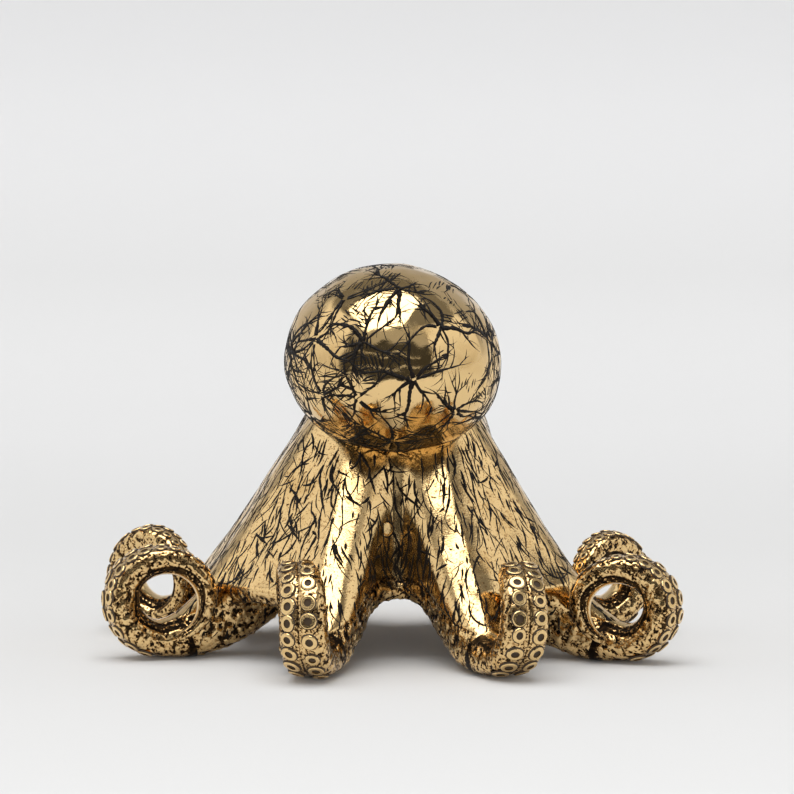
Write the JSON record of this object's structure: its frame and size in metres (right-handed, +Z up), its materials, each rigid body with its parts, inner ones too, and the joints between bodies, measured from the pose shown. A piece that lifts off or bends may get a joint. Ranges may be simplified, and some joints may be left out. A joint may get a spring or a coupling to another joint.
{
  "type": "octopus figurine",
  "caption": "Cast metal octopus ornament: a leaning round mantle over a tent of arms that curl up into rings with two rows of suckers.",
  "frame": {"origin": "on the floor, under the middle of the figure's bounding box", "axes": "+Z up; +X to the right of the picture's viewer; -Y towards that viewer, whom the figure turns its back to"},
  "size_m": [0.2264, 0.218, 0.1494],
  "materials": {
    "mantle_metal": "polished cast metal with black-filled branching strokes",
    "body_metal": "polished cast metal, brown patina and black-filled strokes",
    "arm_metal": "polished cast metal with dark rough sides and polished suckers",
    "eye_metal": "polished cast metal",
    "plug_metal": "polished, dressed flush",
    "sleeve_metal": "as turned, hidden"
  },
  "bodies": {
    "root": {"arm_front_left": "arm_metal", "arm_front_right": "arm_metal", "arm_rear_left": "arm_metal", "arm_rear_right": "arm_metal", "arm_rear_side_left": "arm_metal", "arm_rear_side_right": "arm_metal", "arm_side_left": "arm_metal", "arm_side_right": "arm_metal", "core_plug": "plug_metal", "crown": "body_metal", "eye_left": "eye_metal", "eye_right": "eye_metal", "mantle": "mantle_metal", "neck_sleeve": "sleeve_metal"}
  },
  "joints": []
}
